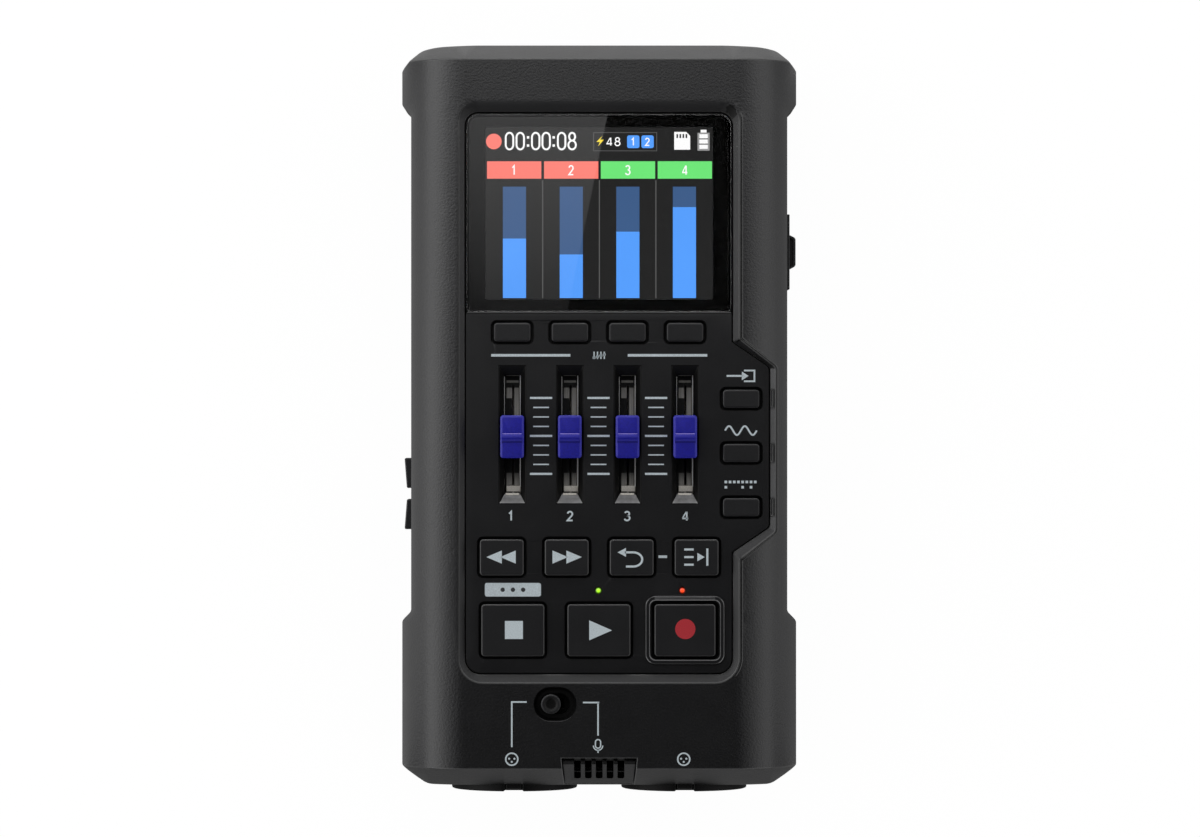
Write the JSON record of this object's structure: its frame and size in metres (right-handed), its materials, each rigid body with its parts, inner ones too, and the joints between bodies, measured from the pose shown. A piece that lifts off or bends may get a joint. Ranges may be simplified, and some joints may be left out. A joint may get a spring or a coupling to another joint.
{
  "type": "digital multitrack recorder",
  "caption": "Hand-held digital multitrack recorder: tall black case, colour display, short blue faders, recording keys, combo jacks in the lower end and a battery bay behind.",
  "frame": {"origin": "on the surface the recorder lies on, under the middle of its outer box", "axes": "+Z out of the control face, +Y towards the display end, +X to the right of the control face"},
  "size_m": [0.0762, 0.1438, 0.0448],
  "materials": {
    "case_plastic": "fine spark-eroded grain, satin",
    "panel_plastic": "fine matt",
    "key_plastic": "fine matt with softer polished edges",
    "window_glass": "clear gloss with a black border printed behind",
    "display": "dark picture with lit colours",
    "circuit_board": "green solder resist",
    "rubber": "matt",
    "blue_plastic": "satin, moulded through",
    "sheet_steel": "plated sheet",
    "black_screw": "blackened steel",
    "cell_jacket": "plain printed sleeve without words",
    "jack_plastic": "satin glass-filled nylon",
    "socket_plastic": "satin",
    "green_light": "clear light pipe, lit",
    "red_light": "clear light pipe, lit"
  },
  "bodies": {
    "root": {"battery_cells": "cell_jacket", "battery_contacts": "sheet_steel", "card_socket": "sheet_steel", "case_feet": "rubber", "case_screws": "black_screw", "combo_jack_a": "jack_plastic", "combo_jack_b": "jack_plastic", "control_panel": "panel_plastic", "display_module": "display", "display_window": "window_glass", "fader_frame_1": "sheet_steel", "fader_frame_2": "sheet_steel", "fader_frame_3": "sheet_steel", "fader_frame_4": "sheet_steel", "front_casing": "case_plastic", "input_switch_body": "socket_plastic", "jack_core_a": "jack_plastic", "jack_core_b": "jack_plastic", "key_mat": "rubber", "main_board": "circuit_board", "mic_capsule": "sheet_steel", "mic_grille": "case_plastic", "mic_holder": "socket_plastic", "phones_jack": "socket_plastic", "play_light": "green_light", "power_switch_plate": "panel_plastic", "rear_casing": "case_plastic", "record_light": "red_light", "side_switches": "socket_plastic", "usb_socket": "sheet_steel"},
    "fader_1": {"fader_cap_1": "blue_plastic", "fader_lever_1": "sheet_steel"},
    "fader_2": {"fader_cap_2": "blue_plastic", "fader_lever_2": "sheet_steel"},
    "fader_3": {"fader_cap_3": "blue_plastic", "fader_lever_3": "sheet_steel"},
    "fader_4": {"fader_cap_4": "blue_plastic", "fader_lever_4": "sheet_steel"},
    "bounce_key": {"bounce_key": "key_plastic"},
    "effect_key": {"effect_key": "key_plastic"},
    "forward_key": {"forward_key": "key_plastic"},
    "input_key": {"input_key": "key_plastic"},
    "play_key": {"play_key": "key_plastic"},
    "record_key": {"record_key": "key_plastic"},
    "rewind_key": {"rewind_key": "key_plastic"},
    "rhythm_key": {"rhythm_key": "key_plastic"},
    "stop_key": {"stop_key": "key_plastic"},
    "track_key_1": {"track_key_1": "key_plastic"},
    "track_key_2": {"track_key_2": "key_plastic"},
    "track_key_3": {"track_key_3": "key_plastic"},
    "track_key_4": {"track_key_4": "key_plastic"},
    "undo_key": {"undo_key": "key_plastic"},
    "input_switch": {"input_switch_knob": "key_plastic"},
    "volume_up": {"volume_up_key": "key_plastic"},
    "volume_down": {"volume_down_key": "key_plastic"},
    "power_switch": {"power_switch_knob": "key_plastic"},
    "release_a": {"release_tab_a": "jack_plastic"},
    "release_b": {"release_tab_b": "jack_plastic"},
    "battery_cover": {"battery_door": "case_plastic", "door_feet": "rubber"}
  },
  "joints": [
    {"name": "fader_1_slide", "type": "slide", "parent": "root", "child": "fader_1", "axis": [0, 1, 0], "range_m": [-0.00725, 0.00725]},
    {"name": "fader_2_slide", "type": "slide", "parent": "root", "child": "fader_2", "axis": [0, 1, 0], "range_m": [-0.00725, 0.00725]},
    {"name": "fader_3_slide", "type": "slide", "parent": "root", "child": "fader_3", "axis": [0, 1, 0], "range_m": [-0.00725, 0.00725]},
    {"name": "fader_4_slide", "type": "slide", "parent": "root", "child": "fader_4", "axis": [0, 1, 0], "range_m": [-0.00725, 0.00725]},
    {"name": "bounce_key_press", "type": "slide", "parent": "root", "child": "bounce_key", "axis": [0, 0, -1], "range_m": [0, 0.0006], "stiffness_N_per_m": 800, "springref_m": -0.0002},
    {"name": "effect_key_press", "type": "slide", "parent": "root", "child": "effect_key", "axis": [0, 0, -1], "range_m": [0, 0.0006], "stiffness_N_per_m": 800, "springref_m": -0.0002},
    {"name": "forward_key_press", "type": "slide", "parent": "root", "child": "forward_key", "axis": [0, 0, -1], "range_m": [0, 0.0006], "stiffness_N_per_m": 800, "springref_m": -0.0002},
    {"name": "input_key_press", "type": "slide", "parent": "root", "child": "input_key", "axis": [0, 0, -1], "range_m": [0, 0.0006], "stiffness_N_per_m": 800, "springref_m": -0.0002},
    {"name": "play_key_press", "type": "slide", "parent": "root", "child": "play_key", "axis": [0, 0, -1], "range_m": [0, 0.0006], "stiffness_N_per_m": 800, "springref_m": -0.0002},
    {"name": "record_key_press", "type": "slide", "parent": "root", "child": "record_key", "axis": [0, 0, -1], "range_m": [0, 0.0006], "stiffness_N_per_m": 800, "springref_m": -0.0002},
    {"name": "rewind_key_press", "type": "slide", "parent": "root", "child": "rewind_key", "axis": [0, 0, -1], "range_m": [0, 0.0006], "stiffness_N_per_m": 800, "springref_m": -0.0002},
    {"name": "rhythm_key_press", "type": "slide", "parent": "root", "child": "rhythm_key", "axis": [0, 0, -1], "range_m": [0, 0.0006], "stiffness_N_per_m": 800, "springref_m": -0.0002},
    {"name": "stop_key_press", "type": "slide", "parent": "root", "child": "stop_key", "axis": [0, 0, -1], "range_m": [0, 0.0006], "stiffness_N_per_m": 800, "springref_m": -0.0002},
    {"name": "track_key_1_press", "type": "slide", "parent": "root", "child": "track_key_1", "axis": [0, 0, -1], "range_m": [0, 0.0006], "stiffness_N_per_m": 800, "springref_m": -0.0002},
    {"name": "track_key_2_press", "type": "slide", "parent": "root", "child": "track_key_2", "axis": [0, 0, -1], "range_m": [0, 0.0006], "stiffness_N_per_m": 800, "springref_m": -0.0002},
    {"name": "track_key_3_press", "type": "slide", "parent": "root", "child": "track_key_3", "axis": [0, 0, -1], "range_m": [0, 0.0006], "stiffness_N_per_m": 800, "springref_m": -0.0002},
    {"name": "track_key_4_press", "type": "slide", "parent": "root", "child": "track_key_4", "axis": [0, 0, -1], "range_m": [0, 0.0006], "stiffness_N_per_m": 800, "springref_m": -0.0002},
    {"name": "undo_key_press", "type": "slide", "parent": "root", "child": "undo_key", "axis": [0, 0, -1], "range_m": [0, 0.0006], "stiffness_N_per_m": 800, "springref_m": -0.0002},
    {"name": "input_switch_slide", "type": "slide", "parent": "root", "child": "input_switch", "axis": [1, 0, 0], "range_m": [0, 0.0016]},
    {"name": "volume_up_press", "type": "slide", "parent": "root", "child": "volume_up", "axis": [1, 0, 0], "range_m": [0, 0.0005], "stiffness_N_per_m": 800, "springref_m": -0.0002},
    {"name": "volume_down_press", "type": "slide", "parent": "root", "child": "volume_down", "axis": [1, 0, 0], "range_m": [0, 0.0005], "stiffness_N_per_m": 800, "springref_m": -0.0002},
    {"name": "power_switch_slide", "type": "slide", "parent": "root", "child": "power_switch", "axis": [0, 1, 0], "range_m": [-0.002, 0.002]},
    {"name": "release_tab_a_press", "type": "slide", "parent": "root", "child": "release_a", "axis": [0, 1, 0], "range_m": [0, 0.001], "stiffness_N_per_m": 800, "springref_m": -0.0002},
    {"name": "release_tab_b_press", "type": "slide", "parent": "root", "child": "release_b", "axis": [0, 1, 0], "range_m": [0, 0.001], "stiffness_N_per_m": 800, "springref_m": -0.0002},
    {"name": "battery_door_slide", "type": "slide", "parent": "root", "child": "battery_cover", "axis": [0, 1, 0], "range_m": [0, 0.006]}
  ]
}
